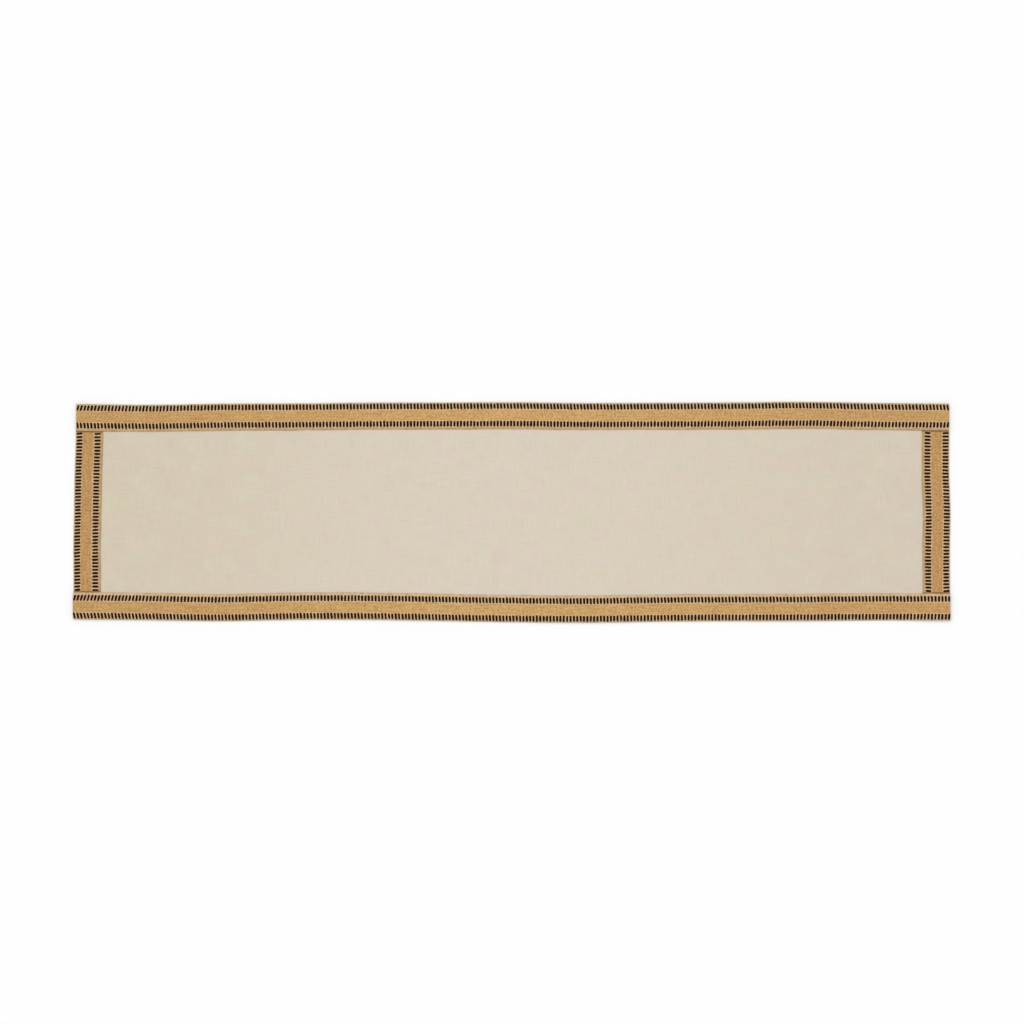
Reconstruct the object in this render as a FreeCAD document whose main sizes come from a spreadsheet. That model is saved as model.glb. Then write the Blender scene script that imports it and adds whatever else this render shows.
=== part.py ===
import FreeCAD, Part
import os
import Sketcher

# A table runner: one long rectangle of ground cloth whose edges are turned up onto its face,
# with four jute tapes sewn over the turned edges. Two long tapes run the whole length and
# cover the ends of the two short end tapes. Every tape carries two rows of black crosswise
# yarn bars, and is held down by lockstitch seams, each made of a needle thread on the face
# and a bobbin thread sunk into the underside.
#
# X runs along the runner, Y across it and Z up. The origin is the middle of the underside,
# which is the plane that lies on the table.

SIZES = {
    "runner_length": 1829,
    "runner_width": 457,
    "corner_radius": 2,
    "cloth_thickness": 0.5,
    "turned_edge_width": 55,
    "edge_reveal": 1,
    "tape_width": 56.5,
    "tape_thickness": 1.2,
    "tuck_length": 8,
    "pressed_thickness": 0.6,
    "tuck_clearance": 0.2,
    "bar_length": 11.3,
    "bar_width": 4,
    "bar_height": 0.8,
    "outer_margin": 1.7,
    "inner_margin": 7,
    "long_bar_count": 258,
    "end_bar_count": 48,
    "thread_thickness": 0.4,
    "outer_seam_inset": 0.85,
    "inner_seam_inset": 2.5,
    "seam_end_gap": 0.5,
    "groove_clearance": 0.05,
}

# Each side's pieces are drawn in a frame of their own: X along the edge, and Y from the
# outer edge of the runner inwards. The angle turns that frame about Z, and the last two
# expressions put its origin at the middle of the side's outer edge.
SIDES = {
    "front": (0, "0", "-Sizes.runner_width / 2"),
    "right": (90, "Sizes.runner_length / 2", "0"),
    "back": (180, "0", "Sizes.runner_width / 2"),
    "left": (270, "-Sizes.runner_length / 2", "0"),
}
LONG_SIDES = ("front", "back")

BORDER_BASE = "2 * Sizes.cloth_thickness"
TAPE_TOP = "2 * Sizes.cloth_thickness + Sizes.tape_thickness"
TAPE_INNER_EDGE = "(Sizes.edge_reveal + Sizes.tape_width)"
OUTER_SEAM = "(Sizes.edge_reveal + Sizes.outer_seam_inset)"
INNER_SEAM = f"({TAPE_INNER_EDGE} - Sizes.inner_seam_inset)"
LONG_TAPE_HALF = "(Sizes.runner_length / 2 - Sizes.edge_reveal)"
END_VISIBLE_HALF = f"(Sizes.runner_width / 2 - {TAPE_INNER_EDGE})"
BAR_PITCH = (
    f"((2 * {LONG_TAPE_HALF} - Sizes.bar_width) / (Sizes.long_bar_count - 1))"
)
# The seam across the end of a long tape runs in the gap between its last two bars.
CROSS_SEAM = f"({LONG_TAPE_HALF} - (Sizes.bar_width + {BAR_PITCH}) / 2)"

OUTER_BARS_MIDDLE = "(Sizes.edge_reveal + Sizes.outer_margin + Sizes.bar_length / 2)"
INNER_BARS_MIDDLE = f"({TAPE_INNER_EDGE} - Sizes.inner_margin - Sizes.bar_length / 2)"

doc = FreeCAD.newDocument("TableRunner")
sheet = doc.addObject("Spreadsheet::Sheet", "Sizes")
for row, (alias, size) in enumerate(SIZES.items(), start=1):
    sheet.set(f"A{row}", alias)
    sheet.set(f"B{row}", str(size))
    sheet.setAlias(f"B{row}", alias)
doc.recompute()


def value(expression):
    """The number that an expression of the sheet gives."""
    return float(sheet.evalExpression(expression))


def origin_feature(body, role):
    """A plane or axis of the body's own origin."""
    return next(item for item in body.Origin.OriginFeatures if item.Role == role)


def place_on_side(body, side, height):
    """Put a body drawn in a side's frame on that side, with its base at the height."""
    angle, x, y = SIDES[side]
    body.Placement.Rotation = FreeCAD.Rotation(FreeCAD.Vector(0, 0, 1), angle)
    body.setExpression("Placement.Base.x", x)
    body.setExpression("Placement.Base.y", y)
    body.setExpression("Placement.Base.z", height)


def new_body(name):
    """A body whose label names its file."""
    body = doc.addObject("PartDesign::Body", name)
    body.Label = name
    body.AllowCompound = True
    return body


def new_sketch(body, name, plane="XY_Plane"):
    """An empty sketch on one of the body's own planes."""
    sketch = body.newObject("Sketcher::SketchObject", f"{body.Label}_{name}")
    sketch.AttachmentSupport = [(origin_feature(body, plane), "")]
    sketch.MapMode = "FlatFace"
    return sketch


def bind(sketch, constraint, expression):
    """Add a dimension to the sketch and tie it to the sheet."""
    index = sketch.addConstraint(constraint)
    sketch.setExpression(f"Constraints[{index}]", expression)


def add_rectangle(sketch, x_low, x_high, y_low, y_high):
    """A rectangle whose four sides are expressions, measured from the sketch's origin."""
    left, right = value(x_low), value(x_high)
    near, far = value(y_low), value(y_high)
    outline = [(left, near), (right, near), (right, far), (left, far)]
    corners = [FreeCAD.Vector(x, y, 0) for x, y in outline]
    first = sketch.GeometryCount
    for index in range(4):
        following = (index + 1) % 4
        sketch.addGeometry(Part.LineSegment(corners[index], corners[following]), False)
    for index in range(4):
        following = (index + 1) % 4
        joint = (first + index, 2, first + following, 1)
        sketch.addConstraint(Sketcher.Constraint("Coincident", *joint))
        direction = "Vertical" if index % 2 else "Horizontal"
        sketch.addConstraint(Sketcher.Constraint(direction, first + index))
    dimensions = (
        ("DistanceX", 0, left, x_low),
        ("DistanceX", 1, right, x_high),
        ("DistanceY", 0, near, y_low),
        ("DistanceY", 2, far, y_high),
    )
    for kind, line, size, expression in dimensions:
        bind(sketch, Sketcher.Constraint(kind, -1, 1, first + line, 1, size), expression)


def add_ring(sketch, half_length, y_low, y_high, half_width):
    """A rectangular band of the given half width that follows a rectangle's outline."""
    for outward, inward in (("+", "-"), ("-", "+")):
        add_rectangle(
            sketch,
            f"-({half_length}) {inward} ({half_width})",
            f"({half_length}) {outward} ({half_width})",
            f"({y_low}) {inward} ({half_width})",
            f"({y_high}) {outward} ({half_width})",
        )


def draw_seams(sketch, side, half_width):
    """The line of a tape's seams: a closed loop on a long tape, two runs on an end tape."""
    if side in LONG_SIDES:
        add_ring(sketch, CROSS_SEAM, OUTER_SEAM, INNER_SEAM, half_width)
        return
    half_run = f"({END_VISIBLE_HALF} - Sizes.seam_end_gap)"
    for seam in (OUTER_SEAM, INNER_SEAM):
        low = f"{seam} - {half_width}"
        high = f"{seam} + {half_width}"
        add_rectangle(sketch, f"-{half_run}", half_run, low, high)


def pad(body, sketch, name, length, midplane=False):
    """Add material on one side of a sketch, or evenly on both."""
    feature = body.newObject("PartDesign::Pad", f"{body.Label}_{name}")
    feature.Profile = sketch
    feature.setExpression("Length", length)
    feature.Midplane = midplane
    body.Tip = feature
    return feature


def pocket(body, sketch, name, depth, upwards):
    """Cut from a sketch, upwards into the solid or downwards, and prove that it cut."""
    doc.recompute()
    volume_before = body.Shape.Volume
    feature = body.newObject("PartDesign::Pocket", f"{body.Label}_{name}")
    feature.Profile = sketch
    feature.setExpression("Length", depth)
    feature.Reversed = upwards
    body.Tip = feature
    doc.recompute()
    if body.Shape.Volume >= volume_before:
        raise RuntimeError(f"{feature.Label} cut nothing")
    return feature


def make_ground_cloth():
    """The cloth, with its edges turned up onto the face and grooves for the bobbin threads."""
    body = new_body("ground_cloth")
    half_length = "Sizes.runner_length / 2"
    half_width = "Sizes.runner_width / 2"

    outline = new_sketch(body, "outline")
    add_rectangle(outline, f"-{half_length}", half_length, f"-{half_width}", half_width)
    pad(body, outline, "panel", "Sizes.cloth_thickness")

    turned_edge = new_sketch(body, "turned_edge_outline")
    turned_edge.setExpression("AttachmentOffset.Base.z", "Sizes.cloth_thickness")
    for inset in ("0", "Sizes.turned_edge_width"):
        add_rectangle(
            turned_edge,
            f"-{half_length} + {inset}",
            f"{half_length} - {inset}",
            f"-{half_width} + {inset}",
            f"{half_width} - {inset}",
        )
    pad(body, turned_edge, "turned_edge", "Sizes.cloth_thickness")
    doc.recompute()
    round_corners(body)

    for side, (angle, x, y) in SIDES.items():
        grooves = new_sketch(body, f"grooves_{side}_outline")
        turn = FreeCAD.Rotation(FreeCAD.Vector(0, 0, 1), angle)
        grooves.AttachmentOffset = FreeCAD.Placement(FreeCAD.Vector(), turn)
        grooves.setExpression("AttachmentOffset.Base.x", x)
        grooves.setExpression("AttachmentOffset.Base.y", y)
        half_groove = "(Sizes.thread_thickness / 2 + Sizes.groove_clearance)"
        draw_seams(grooves, side, half_groove)
        depth = "Sizes.thread_thickness + Sizes.groove_clearance"
        pocket(body, grooves, f"grooves_{side}", depth, upwards=True)
    return body


def round_corners(body):
    """Round the four upright edges at the corners of the ground cloth."""
    half_diagonal = FreeCAD.Vector(
        value("Sizes.runner_length / 2"), value("Sizes.runner_width / 2"), 0
    ).Length
    names = []
    for index, edge in enumerate(body.Shape.Edges, start=1):
        low, high = edge.Vertexes[0].Point, edge.Vertexes[-1].Point
        upright = abs(high.x - low.x) + abs(high.y - low.y) < 1e-6
        if upright and abs(FreeCAD.Vector(low.x, low.y, 0).Length - half_diagonal) < 1e-3:
            names.append(f"Edge{index}")
    sharp_feature = body.Tip
    fillet = body.newObject("PartDesign::Fillet", f"{body.Label}_corners")
    fillet.Base = (sharp_feature, names)
    fillet.setExpression("Radius", "Sizes.corner_radius")
    body.Tip = fillet
    doc.recompute()


def make_tape(side):
    """A woven tape. The end tapes' pressed ends fit into notches under the long tapes."""
    is_long = side in LONG_SIDES
    kind = "long" if is_long else "end"
    body = new_body(f"{kind}_tape_{side}")
    half_tape = LONG_TAPE_HALF if is_long else f"({END_VISIBLE_HALF} + Sizes.tuck_length)"
    outline = new_sketch(body, "outline")
    add_rectangle(outline, f"-{half_tape}", half_tape, "Sizes.edge_reveal", TAPE_INNER_EDGE)
    pad(body, outline, "weave", "Sizes.tape_thickness")

    lap = new_sketch(body, "lap_outline")
    for end in (-1, 1):
        if is_long:
            tuck_span = (
                f"{LONG_TAPE_HALF} - Sizes.tape_width - Sizes.tuck_clearance",
                f"{LONG_TAPE_HALF} + Sizes.tuck_clearance",
            )
            inner = f"{TAPE_INNER_EDGE} + Sizes.tuck_clearance"
            outer = f"{TAPE_INNER_EDGE} - Sizes.tuck_length - Sizes.tuck_clearance"
        else:
            tuck_span = (END_VISIBLE_HALF, f"{half_tape} + Sizes.tuck_clearance")
            inner = f"{TAPE_INNER_EDGE} + Sizes.tuck_clearance"
            outer = "Sizes.edge_reveal - Sizes.tuck_clearance"
        low, high = [f"{end} * ({limit})" for limit in tuck_span[::end]]
        add_rectangle(lap, low, high, outer, inner)
    if is_long:
        pocket(body, lap, "lap_notches", "Sizes.pressed_thickness", upwards=True)
    else:
        lap.setExpression("AttachmentOffset.Base.z", "Sizes.tape_thickness")
        depth = "Sizes.tape_thickness - Sizes.pressed_thickness"
        pocket(body, lap, "pressed_ends", depth, upwards=False)
    place_on_side(body, side, BORDER_BASE)
    return body


def make_bar_row(side, row):
    """A row of separate black bars, each a rounded float of yarn lying across the tape."""
    is_long = side in LONG_SIDES
    body = new_body(f"black_yarn_{side}_{row}")
    count = "Sizes.long_bar_count" if is_long else "Sizes.end_bar_count"
    middle = OUTER_BARS_MIDDLE if row == "outer" else INNER_BARS_MIDDLE
    section = new_sketch(body, "section", "XZ_Plane")
    draw_bar_section(section, f"{BAR_PITCH} * ({count} - 1) / 2")
    section.setExpression("AttachmentOffset.Base.z", f"-({middle})")
    bar = pad(body, section, "bar", "Sizes.bar_length", midplane=True)
    doc.recompute()

    pattern = body.newObject("PartDesign::LinearPattern", f"{body.Label}_pattern")
    pattern.Originals = [bar]
    pattern.Direction = (origin_feature(body, "X_Axis"), [""])
    pattern.setExpression("Length", f"{BAR_PITCH} * ({count} - 1)")
    pattern.setExpression("Occurrences", count)
    body.Tip = pattern
    place_on_side(body, side, TAPE_TOP)
    return body


def draw_bar_section(sketch, half_row):
    """A flat-bottomed arch as wide and high as a bar, at the low end of its row."""
    half_width = value("Sizes.bar_width / 2")
    height = value("Sizes.bar_height")
    start = -value(half_row)
    left = FreeCAD.Vector(start - half_width, 0, 0)
    right = FreeCAD.Vector(start + half_width, 0, 0)
    crown = FreeCAD.Vector(start, height, 0)
    sketch.addGeometry(Part.LineSegment(left, right), False)
    sketch.addGeometry(Part.Arc(right, crown, left), False)
    sketch.addConstraint(Sketcher.Constraint("Coincident", 0, 2, 1, 1))
    sketch.addConstraint(Sketcher.Constraint("Coincident", 0, 1, 1, 2))
    sketch.addConstraint(Sketcher.Constraint("PointOnObject", 0, 1, -1))
    sketch.addConstraint(Sketcher.Constraint("PointOnObject", 0, 2, -1))
    left_end = Sketcher.Constraint("DistanceX", -1, 1, 0, 1, left.x)
    bind(sketch, left_end, f"-{half_row} - Sizes.bar_width / 2")
    right_end = Sketcher.Constraint("DistanceX", -1, 1, 0, 2, right.x)
    bind(sketch, right_end, f"-{half_row} + Sizes.bar_width / 2")
    radius = "(Sizes.bar_width ^ 2 / 4 + Sizes.bar_height ^ 2) / (2 * Sizes.bar_height)"
    bind(sketch, Sketcher.Constraint("Radius", 1, value(radius)), radius)


def make_thread(side, kind):
    """A sewing thread of a tape: on the tape's face, or in its groove in the underside."""
    body = new_body(f"{kind}_thread_{side}")
    line = new_sketch(body, "line")
    draw_seams(line, side, "Sizes.thread_thickness / 2")
    pad(body, line, "thread", "Sizes.thread_thickness")
    place_on_side(body, side, TAPE_TOP if kind == "needle" else "0")
    return body


def check_and_export(bodies):
    """Stop at any failed object or bad shape, then write one file for each sub-part."""
    doc.recompute()
    for item in doc.Objects:
        if "Invalid" in item.State or "Error" in item.State:
            raise RuntimeError(f"{item.Label} failed: {item.State}")
    for body in bodies:
        if body.Shape.isNull() or not body.Shape.isValid():
            raise RuntimeError(f"{body.Label} has a bad shape")
    os.makedirs("parts", exist_ok=True)
    for body in bodies:
        body.Shape.exportStep(f"parts/{body.Label}.step")
        box = body.Shape.BoundBox
        extent = f"{box.XLength:.1f} x {box.YLength:.1f} x {box.ZLength:.2f} mm"
        print(f"{body.Label}: {len(body.Shape.Solids)} solid(s), {extent}")


sub_parts = [make_ground_cloth()]
for side in SIDES:
    sub_parts.append(make_tape(side))
    for row in ("outer", "inner"):
        sub_parts.append(make_bar_row(side, row))
    for kind in ("needle", "bobbin"):
        sub_parts.append(make_thread(side, kind))
check_and_export(sub_parts)
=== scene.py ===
"""Looks of the table runner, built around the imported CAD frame.

Every piece is first drawn on the flat runner: x along it, y across it, and a height above its
underside. lay() then carries those points onto the surface that the runner really takes when
it is laid on a table, so that cloth, tapes, yarns and threads stay together and never clip.
"""

import math

import bpy
import numpy as np
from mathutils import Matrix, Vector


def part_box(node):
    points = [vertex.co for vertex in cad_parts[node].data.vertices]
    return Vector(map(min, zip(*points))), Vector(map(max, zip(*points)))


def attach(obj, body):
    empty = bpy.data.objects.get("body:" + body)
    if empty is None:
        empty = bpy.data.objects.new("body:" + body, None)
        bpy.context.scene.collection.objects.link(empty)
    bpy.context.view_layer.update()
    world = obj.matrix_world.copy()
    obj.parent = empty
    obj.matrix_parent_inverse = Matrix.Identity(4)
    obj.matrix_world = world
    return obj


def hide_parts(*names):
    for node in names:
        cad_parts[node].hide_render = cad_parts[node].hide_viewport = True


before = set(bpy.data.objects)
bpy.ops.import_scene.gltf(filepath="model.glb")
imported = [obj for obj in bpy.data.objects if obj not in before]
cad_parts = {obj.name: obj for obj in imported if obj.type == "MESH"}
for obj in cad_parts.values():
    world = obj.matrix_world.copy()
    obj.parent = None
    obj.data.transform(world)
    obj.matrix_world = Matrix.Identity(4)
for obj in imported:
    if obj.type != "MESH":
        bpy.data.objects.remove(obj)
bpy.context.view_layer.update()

MM = 0.001
rng = np.random.default_rng(18)

# ---------------------------------------------------------------- sizes, from the frame
cloth_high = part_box("ground_cloth")[1]
tape_low, tape_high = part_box("long_tape_back")
outer_low, outer_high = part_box("black_yarn_back_outer")
inner_low, inner_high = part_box("black_yarn_back_inner")

HALF_LENGTH = cloth_high.x
HALF_WIDTH = cloth_high.y
EDGE_REVEAL = HALF_WIDTH - tape_high.y
TAPE_INNER_EDGE = HALF_WIDTH - tape_low.y
TAPE_TOP = tape_high.z
BORDER_BASE = tape_low.z
BAR_HEIGHT = outer_high.z - outer_low.z
BAR_LENGTH = outer_high.y - outer_low.y
OUTER_BARS = HALF_WIDTH - (outer_low.y + outer_high.y) / 2
INNER_BARS = HALF_WIDTH - (inner_low.y + inner_high.y) / 2
LONG_TAPE_HALF = tape_high.x
END_TAPE_HALF = HALF_WIDTH - TAPE_INNER_EDGE

LONG_BAR_COUNT = 258
END_BAR_COUNT = 48
BAR_WIDTH = 4 * MM
BAR_PITCH = (2 * LONG_TAPE_HALF - BAR_WIDTH) / (LONG_BAR_COUNT - 1)
CLOTH_THICKNESS = 0.5 * MM
TURNED_EDGE_WIDTH = 55 * MM
UNDERSIDE = 0.12 * MM
TUCK_LENGTH = 8 * MM
THREAD_RADIUS = 0.2 * MM
OUTER_SEAM = EDGE_REVEAL + 0.85 * MM
INNER_SEAM_INSET = 2.5 * MM
CROSS_SEAM = LONG_TAPE_HALF - (BAR_WIDTH + BAR_PITCH) / 2

# Each side's frame: the direction along its edge, the direction inwards, and half its length.
SIDES = {
    "front": ((1, 0), (0, 1), HALF_LENGTH, HALF_WIDTH),
    "right": ((0, 1), (-1, 0), HALF_WIDTH, HALF_LENGTH),
    "back": ((-1, 0), (0, -1), HALF_LENGTH, HALF_WIDTH),
    "left": ((0, -1), (1, 0), HALF_WIDTH, HALF_LENGTH),
}
LONG_SIDES = ("front", "back")


# ---------------------------------------------------------------- the laid surface
# How far each edge of the laid runner strays outwards from straight, in millimetres, at even
# steps along it. Long edges run from left to right, and end edges from front to back.
EDGE_SWAY = {
    "back": (-3.5, -5, -2.5, -2, -0.5, 0, 0.5, -1, -0.5, 0, 1.5, -1, -2.5),
    "front": (-4, -2.5, 0, -3, -3, -0.5, 2, 3, 1, 0, -0.5, -1.5, -1.5),
    "left": (0, -0.5, 0, -1.5, -2.5, -5, -5.5),
    "right": (1, 0.5, 0.5, 1.5, -1, -1, -1),
}


def smooth_curve(values, position):
    """A smooth curve through evenly spaced values, read at positions from 0 to 1."""
    padded = np.concatenate([[values[0]], values, [values[-1]]])
    spot = np.clip(position, 0, 1) * (len(values) - 1)
    index = np.minimum(spot.astype(int), len(values) - 2)
    t = spot - index
    before, start, end, after = (padded[index + k] for k in range(4))
    return 0.5 * (
        2 * start
        + (end - before) * t
        + (2 * before - 5 * start + 4 * end - after) * t**2
        + (3 * start - before - 3 * end + after) * t**3
    )


def smooth_step(low, high, value):
    """0 below low, 1 above high, and a smooth ramp between."""
    t = np.clip((value - low) / (high - low), 0, 1)
    return t * t * (3 - 2 * t)


def sway(x, y):
    """How far the laid runner shifts in its own plane at each flat point."""
    along = (x + HALF_LENGTH) / (2 * HALF_LENGTH)
    across = (y + HALF_WIDTH) / (2 * HALF_WIDTH)
    to_back = smooth_step(-END_TAPE_HALF, END_TAPE_HALF, y)
    to_right = smooth_step(-LONG_TAPE_HALF, LONG_TAPE_HALF, x)
    back = smooth_curve(EDGE_SWAY["back"], along)
    front = -smooth_curve(EDGE_SWAY["front"], along)
    right = smooth_curve(EDGE_SWAY["right"], across)
    left = -smooth_curve(EDGE_SWAY["left"], across)
    dx = left + (right - left) * to_right
    dy = front + (back - front) * to_back
    return dx * MM, dy * MM


# Low ripples that the cloth keeps from being folded and handled: wavelength in metres,
# direction in degrees, phase in radians, and height in millimetres.
RIPPLES = (
    (0.43, 8, 0.4, 0.33),
    (0.31, -24, 2.1, 0.24),
    (0.22, 37, 4.0, 0.17),
    (0.155, 71, 1.2, 0.12),
    (0.118, -12, 5.1, 0.1),
)
CORNER_LIFT = 1.6 * MM
CORNER_REACH = 0.09
# Small waves that the sewing draws up along the tapes' inner edges: wavelength in metres, and
# phase in radians.
PUCKER_WAVES = ((0.057, 0.5), (0.083, 2.9), (0.041, 4.4))
PUCKER_HEIGHT = 0.12 * MM
PUCKER_REACH = 0.06


def lift(x, y):
    """How far the laid runner's underside stands off the table at each flat point."""
    height = 0.0
    for wavelength, degrees, phase, size in RIPPLES:
        angle = math.radians(degrees)
        spot = x * math.cos(angle) + y * math.sin(angle)
        height = height + size * MM * (1 + np.sin(2 * math.pi * spot / wavelength + phase))
    from_end, from_side = HALF_LENGTH - np.abs(x), HALF_WIDTH - np.abs(y)
    for place, from_edge in ((x, from_side), (y, from_end)):
        bare = from_edge - TAPE_INNER_EDGE
        near = (1 - smooth_step(0, PUCKER_REACH, bare)) * smooth_step(-TAPE_INNER_EDGE, 0, bare)
        for wavelength, phase in PUCKER_WAVES:
            wave = 1 + np.sin(2 * math.pi * place / wavelength + phase)
            height = height + PUCKER_HEIGHT * near * wave
    corner = np.hypot(from_end, from_side)
    return height + CORNER_LIFT * (1 - smooth_step(0, CORNER_REACH, corner))


# How far apart two points lie that a slope is worked out from.
SLOPE_STEP = 1 * MM


def lay(points):
    """Carry flat points, with their heights, onto the laid surface."""
    x, y, height = points[..., 0], points[..., 1], points[..., 2]
    dx, dy = sway(x, y)
    base = lift(x, y)
    slope_x = (lift(x + SLOPE_STEP, y) - base) / SLOPE_STEP
    slope_y = (lift(x, y + SLOPE_STEP) - base) / SLOPE_STEP
    size = np.sqrt(1 + slope_x**2 + slope_y**2)
    laid_x = x + dx - height * slope_x / size
    laid_y = y + dy - height * slope_y / size
    laid_z = base + height / size
    return np.stack([laid_x, laid_y, laid_z], axis=-1)


def to_runner(side, along, inward, height):
    """Points of a side's own frame, as flat points of the runner."""
    (ax, ay), (ix, iy), _, reach = SIDES[side]
    along, inward, height = np.broadcast_arrays(along, inward, height)
    x = along * ax + (inward - reach) * ix
    y = along * ay + (inward - reach) * iy
    return np.stack([x, y, height], axis=-1)


# ---------------------------------------------------------------- mesh helpers
def spots(along, inward, height):
    """Three coordinates, spread to one shape, as points."""
    return np.stack(np.broadcast_arrays(along, inward, height), axis=-1)


def make_object(name, points, faces, flat, node, material):
    """A smooth-shaded mesh object that stands for a CAD node and rides on the one body."""
    mesh = bpy.data.meshes.new(name)
    mesh.from_pydata(points.reshape(-1, 3), [], faces)
    mesh.shade_smooth()
    mark = mesh.attributes.new("flat", "FLOAT_VECTOR", "POINT")
    mark.data.foreach_set("vector", np.ascontiguousarray(flat, dtype=np.float32).ravel())
    mesh.materials.append(material)
    piece = bpy.data.objects.new(name, mesh)
    bpy.context.collection.objects.link(piece)
    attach(piece, "root")
    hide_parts(node)
    return piece


def tube_faces(rings, sides, tubes=1):
    """Quads round closed rings, and a cap on each end, for a number of equal tubes."""
    ring, side = np.meshgrid(np.arange(rings - 1), np.arange(sides), indexing="ij")
    start = ring * sides
    after = (side + 1) % sides
    quads = np.stack([start + side, start + after, start + sides + after, start + sides + side])
    quads = quads.reshape(4, -1).T
    first_cap = np.arange(sides)[::-1]
    last_cap = np.arange(sides) + (rings - 1) * sides
    faces = []
    for tube in range(tubes):
        shift = tube * rings * sides
        faces.extend((quads + shift).tolist())
        faces.append((first_cap + shift).tolist())
        faces.append((last_cap + shift).tolist())
    return faces


# ---------------------------------------------------------------- ground cloth
PANEL_STEP = 5 * MM
# The bend inside a fold, and the angles round the fold at which it has points.
FOLD_INNER_RADIUS = 0.05 * MM
FOLD_ANGLES = np.radians([45, 90, 135, 180])
# The rows of points across a turned edge, as shares of its width.
TURNED_ROWS = (0.5, 1.0)


def make_ground_cloth(material):
    """The cut cloth as one thin sheet, its four edges folded over onto its face."""
    radius = CLOTH_THICKNESS
    edge_x, edge_y = HALF_LENGTH - radius, HALF_WIDTH - radius
    columns = int(round(2 * edge_x / PANEL_STEP)) + 1
    rows = int(round(2 * edge_y / PANEL_STEP)) + 1
    x, y = np.meshgrid(
        np.linspace(-edge_x, edge_x, columns), np.linspace(-edge_y, edge_y, rows), indexing="ij"
    )
    index = np.arange(columns * rows).reshape(columns, rows)
    outer = [to_points(x, y, UNDERSIDE)]
    inner = [to_points(x, y, radius - FOLD_INNER_RADIUS)]
    quads = [grid_quads(index)]
    edges = {
        "front": index[:, 0],
        "right": index[-1, :],
        "back": index[::-1, -1],
        "left": index[0, ::-1],
    }
    count = columns * rows
    for side, edge in edges.items():
        flap_outer, flap_inner = fold_flap(side, len(edge), radius)
        flap_rows = len(flap_outer) // len(edge)
        flap = np.arange(count, count + len(flap_outer)).reshape(flap_rows, len(edge))
        count += len(flap_outer)
        outer.append(flap_outer)
        inner.append(flap_inner)
        quads.append(grid_quads(np.vstack([edge, flap])))
    outer, inner = np.vstack(outer), np.vstack(inner)
    faces = thicken(np.vstack(quads), count)
    flat = np.vstack([outer, inner])
    return make_object(
        "ground_cloth_woven", lay(flat), faces, flat, "ground_cloth", material
    )


def to_points(x, y, height):
    """Grids of x and y, and one height, as a list of points."""
    return np.stack([x, y, np.full_like(x, height)], axis=-1).reshape(-1, 3)


def grid_quads(index):
    """Quads between neighbouring rows and columns of a grid of vertex numbers."""
    corners = (index[:-1, :-1], index[:-1, 1:], index[1:, 1:], index[1:, :-1])
    return np.stack(corners, axis=-1).reshape(-1, 4)


def fold_flap(side, stations, radius):
    """One turned edge: the fold round the runner's edge, then the flat part up to its cut."""
    half = SIDES[side][2] - radius
    along = np.linspace(-half, half, stations)
    outer, inner = [], []
    for angle in FOLD_ANGLES:
        for found, bend in ((outer, radius), (inner, FOLD_INNER_RADIUS)):
            inward = radius - bend * math.sin(angle)
            height = radius - bend * math.cos(angle)
            found.append(to_runner(side, along, inward, max(height, UNDERSIDE)))
    for share in TURNED_ROWS:
        depth = share * TURNED_EDGE_WIDTH
        mitred = along * (half - depth) / half
        outer.append(to_runner(side, mitred, radius + depth, 2 * radius))
        inner.append(to_runner(side, mitred, radius + depth, radius + FOLD_INNER_RADIUS))
    return np.vstack(outer), np.vstack(inner)


def thicken(quads, count):
    """Faces of a closed sheet: the quads, their copies on the inner points, and the rim."""
    tails, heads = quads.ravel(), np.roll(quads, -1, axis=1).ravel()
    forward = set(zip(tails.tolist(), heads.tolist()))
    rim = [(a, b) for a, b in forward if (b, a) not in forward]
    walls = [[b, a, a + count, b + count] for a, b in sorted(rim)]
    return quads.tolist() + (quads[:, ::-1] + count).tolist() + walls


# ---------------------------------------------------------------- tapes
TAPE_STEP = BAR_PITCH / 6
# Columns of points across a tape's face, those of them that its back has too, and the places
# of the points down its selvedges.
TAPE_COLUMNS = 40
BACK_COLUMNS = (*range(TAPE_COLUMNS - 1, TAPE_COLUMNS * 2 // 3, -3), TAPE_COLUMNS // 2, 0)
WALL_SHARES = (0.3, 0.7)
# The rounding of a tape's long edges, and of its ends, with the places of its points there
# and the least share of the rounding's height, squared, that the very end keeps.
EDGE_ROUND = 0.5 * MM
END_ROUND = 0.9 * MM
END_ROUND_SHARES = np.array([0, 0.12, 0.35, 0.65])
LEAST_END = 0.02
# A long tape's ends are turned under, and rise over the tucked ends of the end tapes.
TURNED_END = 9 * MM
TURNED_END_RISE = 0.7 * MM
LAP_RISE = 0.55 * MM
LAP_EDGE = 3 * MM
LAP_DIP_WIDTH = 3.5 * MM
PRESSED_THICKNESS = 0.6 * MM
LAP_CLEARANCE = 0.03 * MM
SEAM_DIP = 0.3 * MM
SEAM_DIP_WIDTH = 1.1 * MM
# How far the sewing presses a tape's face down between its inner seam and its inner edge.
SELVEDGE_DROP = 0.65 * MM
# Unevenness, each with its size and its scale: the lumps of a tape's face, and how far its
# outer selvedge strays, its inner selvedge strays, and both fray.
FACE_LUMPS = ((0.12 * MM, 9 * MM), (0.07 * MM, 2.6 * MM))
SELVEDGE_WANDER = ((0.25 * MM, 24 * MM), (0.4 * MM, 31 * MM), (0.12 * MM, 2.1 * MM))
# How many random cells the unevenness has each way before it repeats.
NOISE_CELLS = 64
# How much narrower than drawn in CAD each tape was woven.
TAPE_TRIM = {"front": 1 * MM, "right": 0.5 * MM, "back": 1.2 * MM, "left": 0.5 * MM}
# How far each end of a long tape reaches past its place, outwards, in millimetres, and the
# share of the half length at which the stretching starts.
TAPE_END_REACH = {"front": {"left": 1.9, "right": 1.2}, "back": {"left": -0.4, "right": 0.5}}
STRETCH_START = 0.6


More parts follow.
